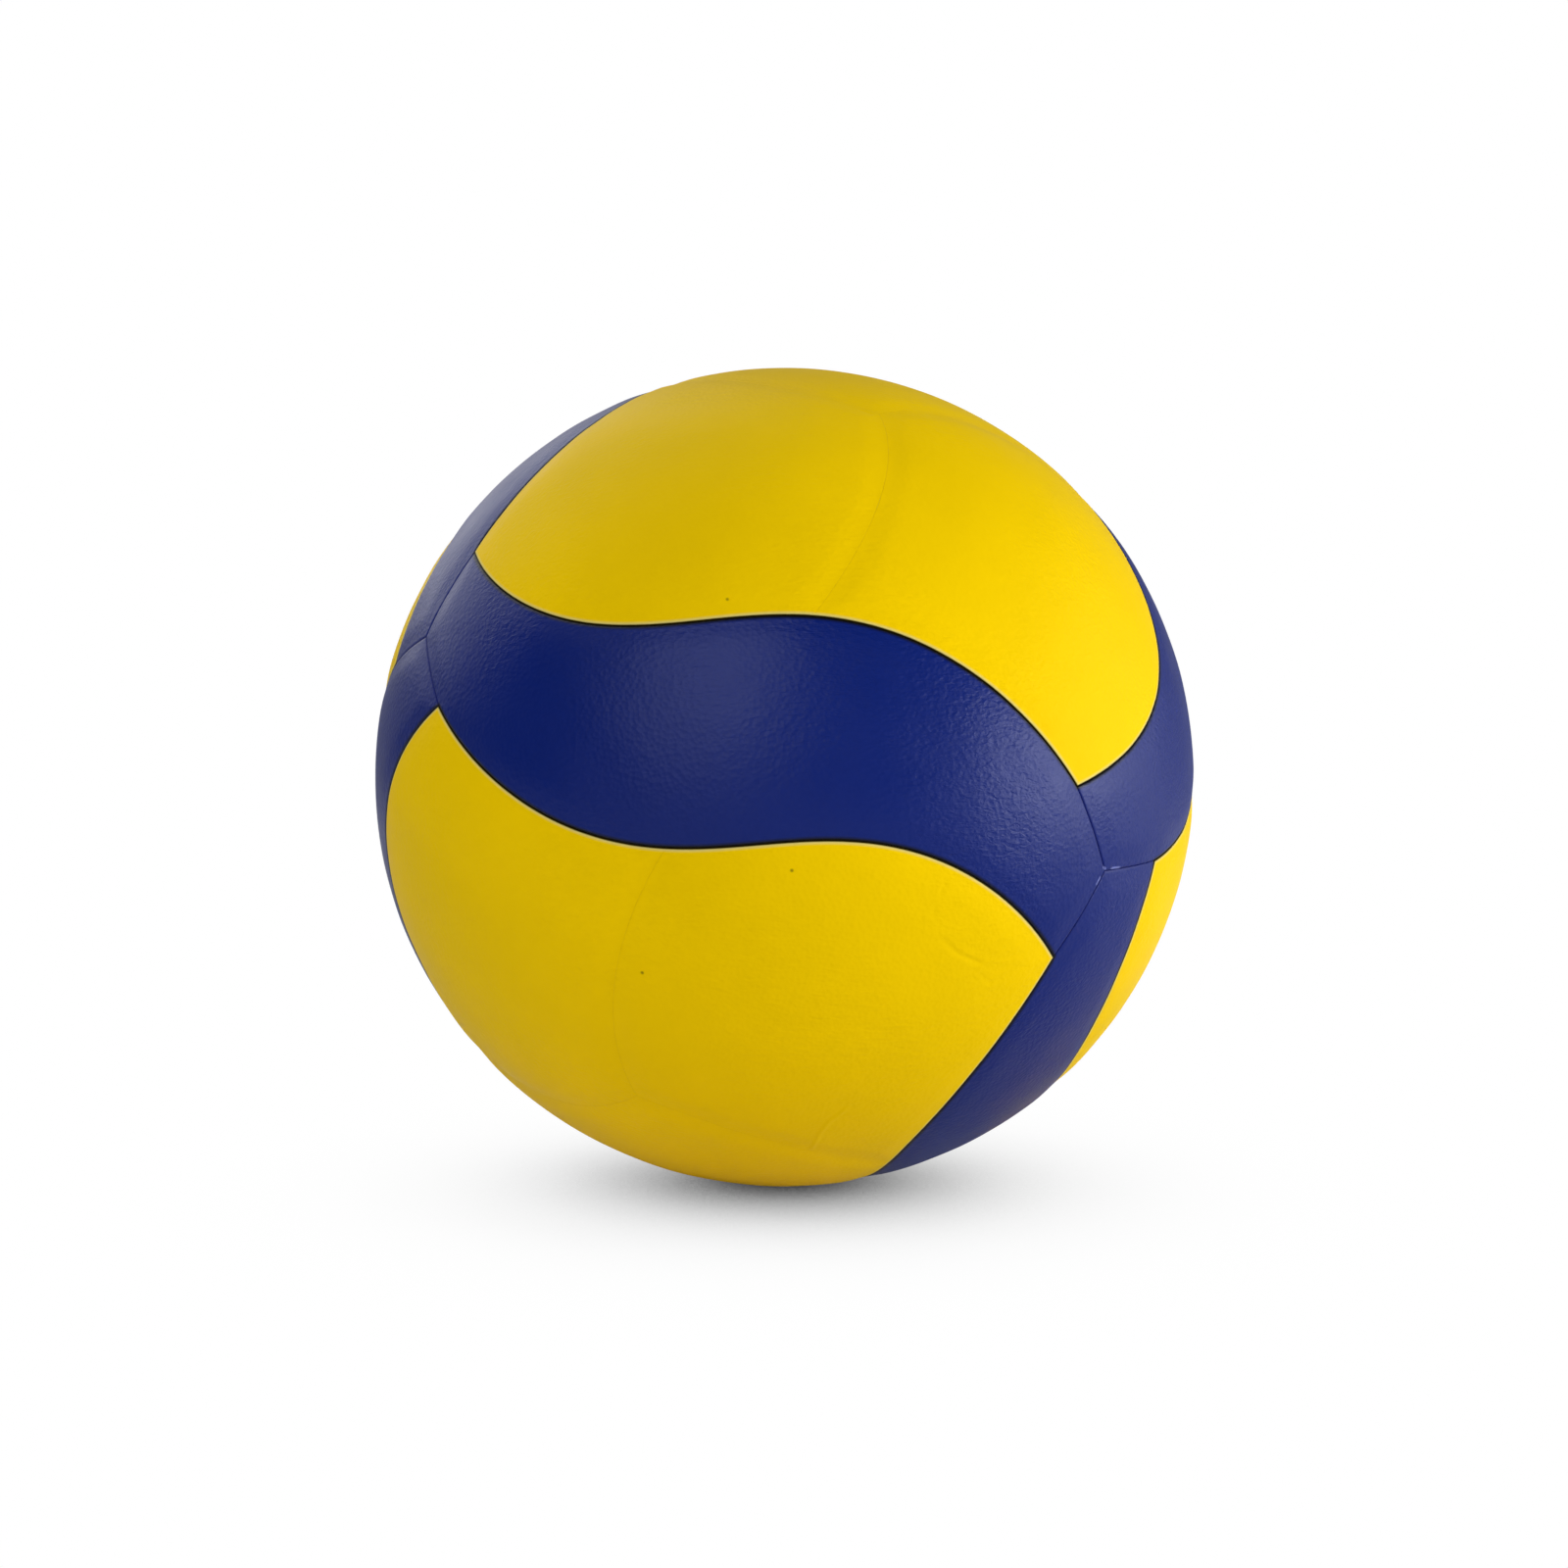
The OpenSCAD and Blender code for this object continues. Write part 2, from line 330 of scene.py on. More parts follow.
def patch_grid(sides, middle_step):
    """Grid directions of a panel, with its lines at set distances from the seams."""
    at = np.linspace(0, 1, MEASURE_LINES)
    mean_s = lengths_across(*sides, at, True).mean()
    mean_t = lengths_across(*sides, at, False).mean()
    count_s = 2 * round((mean_s / 2 - EDGE_LINES_MM[-1]) / middle_step)
    count_t = 2 * round((mean_t / 2 - EDGE_LINES_MM[-1]) / middle_step)
    nominal_s, nominal_t = line_shares(mean_s, count_s), line_shares(mean_t, count_t)
    s = np.stack([line_shares(v, count_s) for v in lengths_across(*sides, nominal_t, True)], 1)
    t = np.stack([line_shares(v, count_t) for v in lengths_across(*sides, nominal_s, False)], 0)
    return coons(*sides, s, t)


strip_grid = patch_grid(strip_sides, MIDDLE_STEP_MM)
kite_grid = patch_grid(kite_sides, MIDDLE_STEP_MM)
print("grids:", strip_grid.shape[:2], kite_grid.shape[:2])

# %% [markdown]
# ## How far each point lies from the seams
#
# Two kinds of seam behave differently. Where blue meets yellow, the blue edge is dark at the cut,
# and a black line is painted there that also stands for the shade in the groove. The yellow edge
# has a band of painted shade at the cut, and then its pale cut with a painted highlight. Where two
# panels of one colour meet there is only a hairline, painted a little darker as its shade. So each
# grid keeps two distances, to the other colour and to its own, and both the height and the colours
# are worked out from them.

# %% Distances to the seams
# Curves are thinned for this, since a straight piece between two points is exact enough
SEAM_EVERY = 2
END_SEAM_EVERY = 5


def distance_mm(points, curve):
    """The distance in mm on the ball from each point to a curve."""
    starts, steps = curve[:-1], np.diff(curve, axis=0)
    nearest = np.full(points.shape[:-1], np.inf)
    for start, step in zip(starts, steps):
        share = np.clip(((points - start) @ step) / (step @ step), 0, 1)
        gap = points - start - share[..., None] * step
        nearest = np.minimum(nearest, np.einsum("...i,...i->...", gap, gap))
    return np.sqrt(nearest) * BALL_R / MM


def seam_distances(grid, other_seams, own_seams):
    """The distances in mm from the cut edge at the other colour's seams and at those of its own."""
    other = np.min([distance_mm(grid, c) for c in other_seams], axis=0) - HALF_GAP_MM
    own = np.min([distance_mm(grid, c) for c in own_seams], axis=0) - HALF_GAP_MM
    return np.clip(other, 0, None), np.clip(own, 0, None)


strip_other = [long_side[::SEAM_EVERY], half(long_side[::SEAM_EVERY])]
strip_ends = [near_end[::END_SEAM_EVERY], far_end[::END_SEAM_EVERY]]
strip_own = strip_ends + [half(end) for end in strip_ends]
kite_other = [long_side[branch::SEAM_EVERY], third(long_side[: branch + 1 : SEAM_EVERY])]
kite_own = [bow[::SEAM_EVERY], third(bow[::SEAM_EVERY])]
strip_distances = seam_distances(strip_grid, strip_other, strip_own)
kite_distances = seam_distances(kite_grid, kite_other, kite_own)
print("widest reach from a seam in mm:", round(float(np.min(strip_distances, axis=0).max()), 1))

# %% [markdown]
# ## Marks of use
#
# A new ball is pressed into a bag and pumped up again, and that leaves marks: a few short creases,
# and tiny pits where grit was pressed into the leather. They are placed by their pixels in the
# photograph. A crease is a groove with a low lip on both sides, because leather that folds inwards
# also bulges. Where the fold stands up instead, its depth is negative. Panels that carry creases
# get a grid fine enough for them. A pit is hardly wider than the grid is fine, so its dent is
# slight, and the leather's material paints a dark speck at its bottom as the shade that the shallow
# dent can't cast.

# %% Creases and pits in the photograph
CREASES_PX = {
    "upper_dash": ((965.7, 898.7), (963.4, 905.0), (960.4, 912.0)),
    "middle_dash": ((955.0, 924.0), (952.3, 936.0)),
    "long_curl": ((963.0, 959.0), (973.7, 971.0), (987.0, 978.4), (1000.5, 983.0)),
    "faint_tail": ((1000.5, 995.0), (1011.0, 1003.0)),
    "lower_arc": ((863.8, 1131.7), (846.6, 1145.0), (837.0, 1156.5), (828.4, 1173.7)),
    "top_nick": ((881.0, 418.0), (889.0, 420.0)),
}
CREASE_DEPTH_MM = {
    "upper_dash": 0.2,
    "middle_dash": 0.17,
    "long_curl": 0.22,
    "faint_tail": 0.11,
    "lower_arc": -0.18,
    "top_nick": 0.14,
}
PITS_PX = {
    "below_the_strip": (808.0, 888.5),
    "lower_left": (655.0, 993.0),
    "above_the_strip": (742.0, 611.0),
}
print("creases:", len(CREASES_PX), "and pits:", len(PITS_PX))

# %% Their height, and the panels that carry them
CREASE_W_MM = 0.48
CREASE_POINTS = 13
LIP_SHARE = 0.25
# A crease is only worked out for points whose direction is within 8 degrees of its middle
NEARBY_COSINE = 0.99
PIT_DEPTH_MM, PIT_W_MM = 0.12, 0.6
MARKED_STEP_MM = 0.55
RIM_LINES = 4


def marks_height(directions):
    """Height in mm of the creases and pits at directions from the ball's centre."""
    height = np.zeros(directions.shape[:-1])
    for name, pixels in CREASES_PX.items():
        line = np.array([spot_in_photo(pixel) for pixel in pixels])
        line = along_curve(line, np.linspace(0, 1, CREASE_POINTS))
        near = directions @ line[CREASE_POINTS // 2] > NEARBY_COSINE
        distance = distance_mm(directions[near], line)
        groove = np.exp(-((distance / CREASE_W_MM) ** 2))
        lip = np.exp(-(((distance - 2 * CREASE_W_MM) / CREASE_W_MM) ** 2))
        height[near] += CREASE_DEPTH_MM[name] * (LIP_SHARE * lip - groove)
    for pixel in PITS_PX.values():
        distance = np.linalg.norm(directions - spot_in_photo(pixel), axis=-1) * BALL_R / MM
        height -= PIT_DEPTH_MM * np.exp(-((distance / PIT_W_MM) ** 2))
    return height


def carries_marks(grid, place):
    """Whether any crease lies on the panel, by the nearest point of its grid inside the rim."""
    spots = np.array([spot_in_photo(p) for line in CREASES_PX.values() for p in line])
    inner = grid[RIM_LINES:-RIM_LINES, RIM_LINES:-RIM_LINES].reshape(-1, 3) @ place.T
    nearest = (inner @ spots.T).max(axis=0)
    return bool((nearest > math.cos(MIDDLE_STEP_MM * MM / BALL_R)).any())


for kind, grid, places in (("strips", strip_grid, strip_places), ("kites", kite_grid, kite_places)):
    creased = [k + 1 for k, place in enumerate(places) if carries_marks(grid, place)]
    print(kind, "with creases:", creased)

# %% [markdown]
# ## The foam shows through, and the edges wear
#
# Foam under thin leather is never quite even. A few long, shallow waves, added up, give every panel
# gentle dents that the eye only notices where they break up the shine. They are seeded, so that the
# ball is the same each time. Where three blue panels meet, the edges have rubbed pale in a few
# short strokes, and each point keeps its distance to the nearest of them.

# %% Uneven foam and worn edges
UNEVEN_MM = 0.16
UNEVEN_WAVES = 14
# The sum of the waves is divided by this, so that only the very highest and lowest are cut off
UNEVEN_SPREAD = 3
SHORTEST_WAVE_MM, LONGEST_WAVE_MM = 11, 34
WORN_PX = {
    "corner": ((1127.8, 885.6), (1130.0, 887.0)),
    "right": ((1136.0, 886.4), (1145.5, 885.6)),
    "below": ((1124.2, 896.0), (1120.8, 903.0)),
}
dice = np.random.default_rng(5)
wave_ways = unit(dice.normal(size=(UNEVEN_WAVES, 3)))
wave_lengths = dice.uniform(SHORTEST_WAVE_MM, LONGEST_WAVE_MM, UNEVEN_WAVES)
wave_starts = dice.uniform(0, 2 * math.pi, UNEVEN_WAVES)


def unevenness(directions):
    """Height in mm of the long waves, zero at most, so that the ball keeps its size."""
    travel = directions @ wave_ways.T * (BALL_R / MM)
    waves = np.sin(2 * math.pi * travel / wave_lengths + wave_starts).sum(axis=-1)
    share = np.clip(waves / math.sqrt(UNEVEN_WAVES) / UNEVEN_SPREAD, -0.5, 0.5)
    return UNEVEN_MM * (share - 0.5)


def worn_distance(directions):
    """The distance in mm to the nearest worn stroke."""
    strokes = [[spot_in_photo(pixel) for pixel in pixels] for pixels in WORN_PX.values()]
    return np.min([distance_mm(directions, np.array(stroke)) for stroke in strokes], axis=0)


print("deepest dent in mm:", round(float(unevenness(kite_grid).min()), 3))

# %% [markdown]
# ## From a grid to a closed panel
#
# A panel has two faces: the one that shows, and the flat back that sits on the foam. A Solidify
# modifier would copy the whole grid to the back, where nobody looks. Here the back is made of a
# few large faces instead, and only its rim keeps every point, so that the walls close the solid
# without a gap. The panel with the valve also gets its round punched hole: a block of squares is
# left out, and rings of points lead from that block's outline to the circle.

# %% The faces of a panel
BACK_STEP = 6


def ring_of_block(rows, columns):
    """The outline of a block of grid points, anticlockwise, as (row, column) pairs."""
    a, b = rows
    c, d = columns
    ring = [(i, c) for i in range(a, b)] + [(b, j) for j in range(c, d)]
    return ring + [(i, d) for i in range(b, a, -1)] + [(a, j) for j in range(d, c, -1)]


def back_lines(count, block):
    """The lines that the back keeps: every BACK_STEP-th, both ends and a block's edges.

    None is kept inside the block.
    """
    lines = {*range(0, count - BACK_STEP // 2, BACK_STEP), count - 1, *block}
    return sorted(i for i in lines if not (block and block[0] < i < block[1]))


def rim_between(a, b, fixed, lines):
    """Grid indices from a to b, all of them on the rim and only the ends inside."""
    step = 1 if b > a else -1
    return range(a, b, step) if fixed in lines else [a]


def in_block(i, j, block):
    """Whether the square that starts at a grid point lies in the block left out for the hole."""
    return bool(block) and block[0][0] <= i < block[0][1] and block[1][0] <= j < block[1][1]


def panel_faces(shape, block):
    """Faces of a closed panel as tuples of keys: ("top", i, j) or ("back", i, j) of the grid."""
    rows, columns = shape
    faces = []
    for i in range(rows - 1):
        for j in range(columns - 1):
            if not in_block(i, j, block):
                square = [(i, j), (i + 1, j), (i + 1, j + 1), (i, j + 1)]
                faces.append([("top", *corner) for corner in square])
    rim = ring_of_block((0, rows - 1), (0, columns - 1))
    for a, b in zip(rim, rim[1:] + rim[:1]):
        faces.append([("top", *b), ("top", *a), ("back", *a), ("back", *b)])
    row_lines = back_lines(rows, block[0] if block else ())
    column_lines = back_lines(columns, block[1] if block else ())
    ends_i, ends_j = (0, rows - 1), (0, columns - 1)
    for a, b in zip(row_lines, row_lines[1:]):
        for c, d in zip(column_lines, column_lines[1:]):
            if in_block(a, c, block):
                continue
            loop = [(i, c) for i in rim_between(a, b, c, ends_j)]
            loop += [(b, j) for j in rim_between(c, d, b, ends_i)]
            loop += [(i, d) for i in rim_between(b, a, d, ends_j)]
            loop += [(a, j) for j in rim_between(d, c, a, ends_i)]
            faces.append([("back", i, j) for i, j in reversed(loop)])
    return faces


print("faces of a strip:", len(panel_faces(strip_grid.shape[:2], None)))
print("faces of a kite:", len(panel_faces(kite_grid.shape[:2], None)))

# %% The rings round the valve's hole
PUNCH_R_MM = 3.0
PUNCH_ROLL_MM = 0.12
# Each ring's share of the way from the block to the hole, and its share of the rolled edge's depth
HOLE_RINGS = ((0.45, 0.0), (0.75, 0.0), (0.93, 0.15), (1.0, 1.0))


def hole_faces(block):
    """Faces round a punched hole: rings on the top, the wall, and four faces on the back."""
    ring = ring_of_block(*block)
    count = len(ring)
    outline = [("top", i, j) for i, j in ring]
    rings = [outline] + [[("ring", k, n) for n in range(count)] for k in range(len(HOLE_RINGS))]
    rings.append([("hole_back", 0, n) for n in range(count)])
    faces = []
    for outer, inner in zip(rings, rings[1:]):
        for n in range(count):
            m = (n + 1) % count
            faces.append([outer[n], outer[m], inner[m], inner[n]])
    corners = [n for n, (i, j) in enumerate(ring) if i in block[0] and j in block[1]]
    for start, end in zip(corners, corners[1:] + [corners[0] + count]):
        arc = [("hole_back", 0, n % count) for n in range(start, end + 1)]
        faces.append([("back", *ring[end % count]), ("back", *ring[start]), *arc])
    return faces


def beside(centre, side, across, radius):
    """A point at that radius, moved off the line to the centre by a share of the radius."""
    return (centre * math.sqrt(1 - across**2) + side * across) * radius


def hole_points(directions, place, block, back_r):
    """The points of the rings from a block to the punched hole, and those of its lower edge."""
    centre = place @ np.array([0.0, 0.0, 1.0])
    points = {}
    for n, (i, j) in enumerate(ring_of_block(*block)):
        side = unit(directions[i, j] - centre * (directions[i, j] @ centre))
        reach = np.linalg.norm(directions[i, j] - centre) * SKIN_R
        for k, (share, roll_share) in enumerate(HOLE_RINGS):
            across = (reach + (PUNCH_R_MM * MM - reach) * share) / SKIN_R
            ring_r = SKIN_R - PUNCH_ROLL_MM * MM * roll_share
            points[("ring", k, n)] = beside(centre, side, across, ring_r)
        points[("hole_back", 0, n)] = beside(centre, side, PUNCH_R_MM * MM / back_r, back_r)
    return points


print("width of the hole in mm:", 2 * PUNCH_R_MM, "with", len(HOLE_RINGS), "rings round it")

# %% [markdown]
# ## A panel that knows its seams
#
# One function turns a grid, its heights and a place into a Blender mesh. It also writes the
# distances to the seams and to the worn strokes into the mesh as attributes, so that the
# leather's material can colour the cut edges exactly where they are, without any texture image.

# %% The function that builds a panel
PANEL_ATTRIBUTES = ("other_seam_mm", "own_seam_mm", "worn_mm")
# Written as the distance to a seam where there's none near
FAR_MM = 9.0


def build_panel(name, grid, distances, seams, place, block=None):
    """Makes one closed panel as an object and returns it."""
    other, own = distances
    directions = grid @ place.T
    height = np.minimum(edge_height(other, seams[0]), edge_height(own, seams[1]))
    height = height + marks_height(directions) + unevenness(directions)
    worn = worn_distance(directions)
    top_r, back_r = SKIN_R + height * MM, BALL_R - BACK_DEPTH_MM * MM
    faces = panel_faces(grid.shape[:2], block)
    points = {}
    if block:
        faces += hole_faces(block)
        points = hole_points(directions, place, block, back_r)
    # Each key becomes one vertex, in the order in which the faces first use it
    keys = list(dict.fromkeys(key for face in faces for key in face))
    vertices, attributes = [], []
    for key in keys:
        kind, i, j = key
        if kind == "top":
            vertices.append(directions[i, j] * top_r[i, j])
            attributes.append((other[i, j], own[i, j], worn[i, j]))
        elif kind == "back":
            vertices.append(directions[i, j] * back_r)
            attributes.append((0.0, 0.0, FAR_MM))
        else:
            vertices.append(points[key])
            attributes.append((FAR_MM, FAR_MM, FAR_MM))
    index = {key: n for n, key in enumerate(keys)}
    mesh = bpy.data.meshes.new(name)
    mesh.from_pydata(vertices, [], [[index[key] for key in face] for face in faces])
    for n, title in enumerate(PANEL_ATTRIBUTES):
        layer = mesh.attributes.new(title, "FLOAT", "POINT")
        layer.data.foreach_set("value", [values[n] for values in attributes])
    # The walls and the back stay flat, so that the cut edge doesn't smear light over the face
    smooth = [not any("back" in key[0] for key in face) for face in faces]
    mesh.polygons.foreach_set("use_smooth", smooth)
    panel = bpy.data.objects.new(name, mesh)
    bpy.context.scene.collection.objects.link(panel)
    return panel


print("attributes of a panel:", PANEL_ATTRIBUTES)

# %% [markdown]
# ## One helper for colours and one for nodes
#
# Colours are written as the sRGB hex values that a designer would pick from a swatch, and one
# function turns them into the linear values that Blender's shaders work with. Materials are
# small networks of nodes, and one function adds any node with its settings and links, so that
# each material reads as a list.

# %% Helpers for materials
def linear(hex_colour):
    """An sRGB hex colour as linear RGBA."""
    channels = [int(hex_colour[i : i + 2], 16) / 255 for i in (1, 3, 5)]
    return [c / 12.92 if c <= 0.04045 else ((c + 0.055) / 1.055) ** 2.4 for c in channels] + [1.0]


def add(tree, kind, inputs=None, **settings):
    """Adds a node. An input is given a value, or a socket to link to it."""
    node = tree.nodes.new(kind)
    for name, value in settings.items():
        setattr(node, name, value)
    for name, value in (inputs or {}).items():
        if isinstance(value, bpy.types.NodeSocket):
            tree.links.new(value, node.inputs[name])
        else:
            node.inputs[name].default_value = value
    return node


def new_material(name):
    """An empty material: its node tree and its Principled shader."""
    material = bpy.data.materials.new(name)
    material.use_nodes = True
    return material, material.node_tree, material.node_tree.nodes["Principled BSDF"]


def per_mm(size_mm):
    """The scale of a texture whose features are that many mm wide, in metre coordinates."""
    return 1000 / size_mm


print("middle grey in linear light:", round(linear("#808080")[0], 3))

# %% [markdown]
# ## The leather
#
# The cover is polyurethane synthetic leather: a microfibre cloth with a skin of polyurethane
# that is embossed with a fine grain and coloured through. To the eye it is satin: a broad soft
# shine with no sharp reflection, and much brighter towards the rim. The yellow skin is the more
# porous one, so it reflects less than the blue. The real grain is about 0.3 mm wide and too fine
# to show here, so it is drawn at 1.1 mm. Over it lie patches of slanting wrinkles, drawn about
# 1 mm apart, which break the shine into streaks. They are a bump, because they are far lower than
# a hair is thick, while all larger forms are in the mesh.
#
# The blue edges are dark at the cut. The black line painted along every seam to yellow is that dark
# edge together with painted shade in the groove. On the yellow side a thin dark band is painted
# shade in the groove, and the pale line beyond it is the cut of the sheet with a painted highlight
# on the rolled edge. Where two blue panels meet, the line is navy painted shade. Where two yellow
# ones meet, a faint darker hairline is painted shade. A few worn strokes are pale. An image could
# hold all that, but here each band is a distance in millimetres, so it stays sharp at any zoom.

# %% The relief of the leather
GRAIN_MM = 1.1
GRAIN_DEPTH_MM = 0.058
PORE_MM = 2.6
WRINKLE_MM = 0.9
WRINKLE_STRETCH = 0.28
WRINKLE_TURN = math.radians(-48)
WRINKLE_STRENGTH = 2.9
WRINKLE_PATCH_MM = 38
# Wrinkles begin where the noise of the patches passes the first value, and are full at the second
WRINKLES_BEGIN, WRINKLES_FULL = 0.43, 0.58


def leather_relief(tree, place):
    """The bump of the grain and the pores, with wrinkles in patches, as a socket."""
    grain = add(tree, "ShaderNodeTexVoronoi", {"Vector": place, "Scale": per_mm(GRAIN_MM)})
    pores = add(
        tree, "ShaderNodeTexNoise",
        {"Vector": place, "Scale": per_mm(PORE_MM), "Detail": 2.0},
    )
    relief = add(
        tree, "ShaderNodeMath",
        {0: grain.outputs["Distance"], 1: pores.outputs["Fac"]}, operation="ADD",
    )
    pulled = add(
        tree, "ShaderNodeMapping",
        {"Vector": place, "Rotation": (0, WRINKLE_TURN, 0), "Scale": (WRINKLE_STRETCH, 1, 1)},
    )
    wrinkles = add(
        tree, "ShaderNodeTexNoise",
        {
            "Vector": pulled.outputs["Vector"], "Scale": per_mm(WRINKLE_MM),
            "Detail": 2.0, "Distortion": 0.6,
        },
    )
    where = add(
        tree, "ShaderNodeTexNoise",
        {"Vector": place, "Scale": per_mm(WRINKLE_PATCH_MM), "Detail": 1.0},
    )
    patches = add(
        tree, "ShaderNodeMapRange",
        {
            "Value": where.outputs["Fac"], "From Min": WRINKLES_BEGIN, "From Max": WRINKLES_FULL,
            "To Max": WRINKLE_STRENGTH,
        },
    )
    folds = add(
        tree, "ShaderNodeMath",
        {0: wrinkles.outputs["Fac"], 1: patches.outputs["Result"], 2: relief.outputs["Value"]},
        operation="MULTIPLY_ADD",
    )
    bump = add(
        tree, "ShaderNodeBump",
        {"Height": folds.outputs["Value"], "Distance": GRAIN_DEPTH_MM * MM, "Strength": 1.0},
    )
    return bump.outputs["Normal"]


print("grain in mm:", GRAIN_MM, "and its depth in mm:", GRAIN_DEPTH_MM)

# %% The colour of the leather
# Nearly all values of a noise texture lie between these two
NOISE_LOW, NOISE_HIGH = 0.3, 0.7
DYE_PATCH_MM = 45
DARKEST_DYE, LIGHTEST_DYE = 0.96, 1.03
# A pit's painted shade is full up to the first distance, and fades out at the second
PIT_SHADE_CORE_MM, PIT_SHADE_REACH_MM = 0.2, 0.55
PIT_SHADE_COVER = 0.8
PIT_SHADE_COLOUR = "#5A4A10"


def leather_colour(tree, place, colour, edge_bands, pits):
    """The dyed colour with bands along the edges, some of them painted shade and highlight, and a
    dark speck of painted shade in each pit, as a socket.

    Each band is (attribute, width in mm, softness in mm, hex colour), each pit a pixel of the
    photograph.
    """
    dye = add(
        tree, "ShaderNodeTexNoise",
        {"Vector": place, "Scale": per_mm(DYE_PATCH_MM), "Detail": 3.0},
    )
    dye_amount = add(
        tree, "ShaderNodeMapRange",
        {
            "Value": dye.outputs["Fac"], "From Min": NOISE_LOW, "From Max": NOISE_HIGH,
            "To Min": DARKEST_DYE, "To Max": LIGHTEST_DYE,
        },
    )
    tint = add(
        tree, "ShaderNodeVectorMath",
        {0: linear(colour)[:3], "Scale": dye_amount.outputs["Result"]}, operation="SCALE",
    )
    shade = tint.outputs["Vector"]
    # Each layer is a distance, where it starts and stops to fade, how much it covers, its colour
    layers = []
    for attribute, width, softness, band_colour in edge_bands:
        distance = add(tree, "ShaderNodeAttribute", attribute_name=attribute).outputs["Fac"]
        layers.append((distance, width - softness, width + softness, 1.0, band_colour))
    # Each pit gets a dark speck: painted shade that its shallow dent can't cast
    for pixel in pits:
        middle = spot_in_photo(pixel) * SKIN_R
        reach = add(tree, "ShaderNodeVectorMath", {0: place, 1: middle}, operation="DISTANCE")
        near, far = PIT_SHADE_CORE_MM * MM, PIT_SHADE_REACH_MM * MM
        layers.append((reach.outputs["Value"], near, far, PIT_SHADE_COVER, PIT_SHADE_COLOUR))
    for distance, near, far, cover, layer_colour in layers:
        amount = add(
            tree, "ShaderNodeMapRange",
            {"Value": distance, "From Min": near, "From Max": far, "To Min": cover, "To Max": 0.0},
        )
        layer = add(
            tree, "ShaderNodeMix",
            {"Factor": amount.outputs["Result"], "A": shade, "B": linear(layer_colour)},
            data_type="RGBA",
        )
        shade = layer.outputs["Result"]
    return shade


print("dye varies between", DARKEST_DYE, "and", LIGHTEST_DYE)

# %% Leather in yellow and blue
RUBBED_PATCH_MM = 18
ROUGHNESS_SPREAD = 0.03


def leather(name, colour, shine_colour, roughness, shine, edge_bands, pits=()):
    """Synthetic leather. A shine of 0.5 is its full reflection, and open grain leaves less."""
    material, tree, shader = new_material(name)
    place = add(tree, "ShaderNodeTexCoord").outputs["Object"]
    shade = leather_colour(tree, place, colour, edge_bands, pits)
    tree.links.new(shade, shader.inputs["Base Color"])
    tree.links.new(leather_relief(tree, place), shader.inputs["Normal"])
    rubbed = add(
        tree, "ShaderNodeTexNoise",
        {"Vector": place, "Scale": per_mm(RUBBED_PATCH_MM), "Detail": 4.0},
    )
    gloss = add(
        tree, "ShaderNodeMapRange",
        {
            "Value": rubbed.outputs["Fac"], "From Min": NOISE_LOW, "From Max": NOISE_HIGH,
            "To Min": roughness - ROUGHNESS_SPREAD, "To Max": roughness + ROUGHNESS_SPREAD,
        },
    )
    tree.links.new(gloss.outputs["Result"], shader.inputs["Roughness"])
    # Polyurethane has an index of about 1.5. The open grain takes away part of its reflection
    shader.inputs["IOR"].default_value = 1.5
    shader.inputs["Specular IOR Level"].default_value = shine
    shader.inputs["Specular Tint"].default_value = linear(shine_colour)
    return material


YELLOW_EDGES = [
    # A faint darker hairline where two yellow panels meet is painted shade in the seam
    ("own_seam_mm", 0.05, 0.05, "#EEC302"),
    # A pale line: the cut of the sheet, with a painted highlight on its rolled edge
    ("other_seam_mm", 0.72, 0.35, "#E2D07A"),
    # A dark olive band at the cut is painted shade in the groove
    ("other_seam_mm", 0.3, 0.12, "#2A2200"),
]
BLUE_EDGES = [
    # A navy line where two blue panels meet is painted shade in the seam
    ("own_seam_mm", 0.3, 0.15, "#021668"),
    # The black line to yellow is the dark cut edge and painted shade in the groove
    ("other_seam_mm", 0.7, 0.38, "#0C0C0A"),
    ("worn_mm", 0.28, 0.15, "#6D76B6"),
]
# A roughness of 0.4 to 0.5 is that of satin polyurethane, and gives the eye a wide, soft shine
yellow_leather = leather(
    "yellow_polyurethane_leather", colour="#F8CF02", shine_colour="#FFE840",
    roughness=0.45, shine=0.035, edge_bands=YELLOW_EDGES, pits=PITS_PX.values(),
)
blue_leather = leather(
    "blue_polyurethane_leather", colour="#021D6F", shine_colour="#E3E7FF",
    roughness=0.41, shine=0.28, edge_bands=BLUE_EDGES,
)
print("materials:", yellow_leather.name, blue_leather.name)

# %% [markdown]
# ## Laying the cover
#
# Now the eighteen skins are made. The strip that faces away holds the valve, so it gets the punched
# hole in its middle. Each skin stands for its CAD node, which is hidden, rides on the ball's one
# body, and gets its blue or yellow leather.

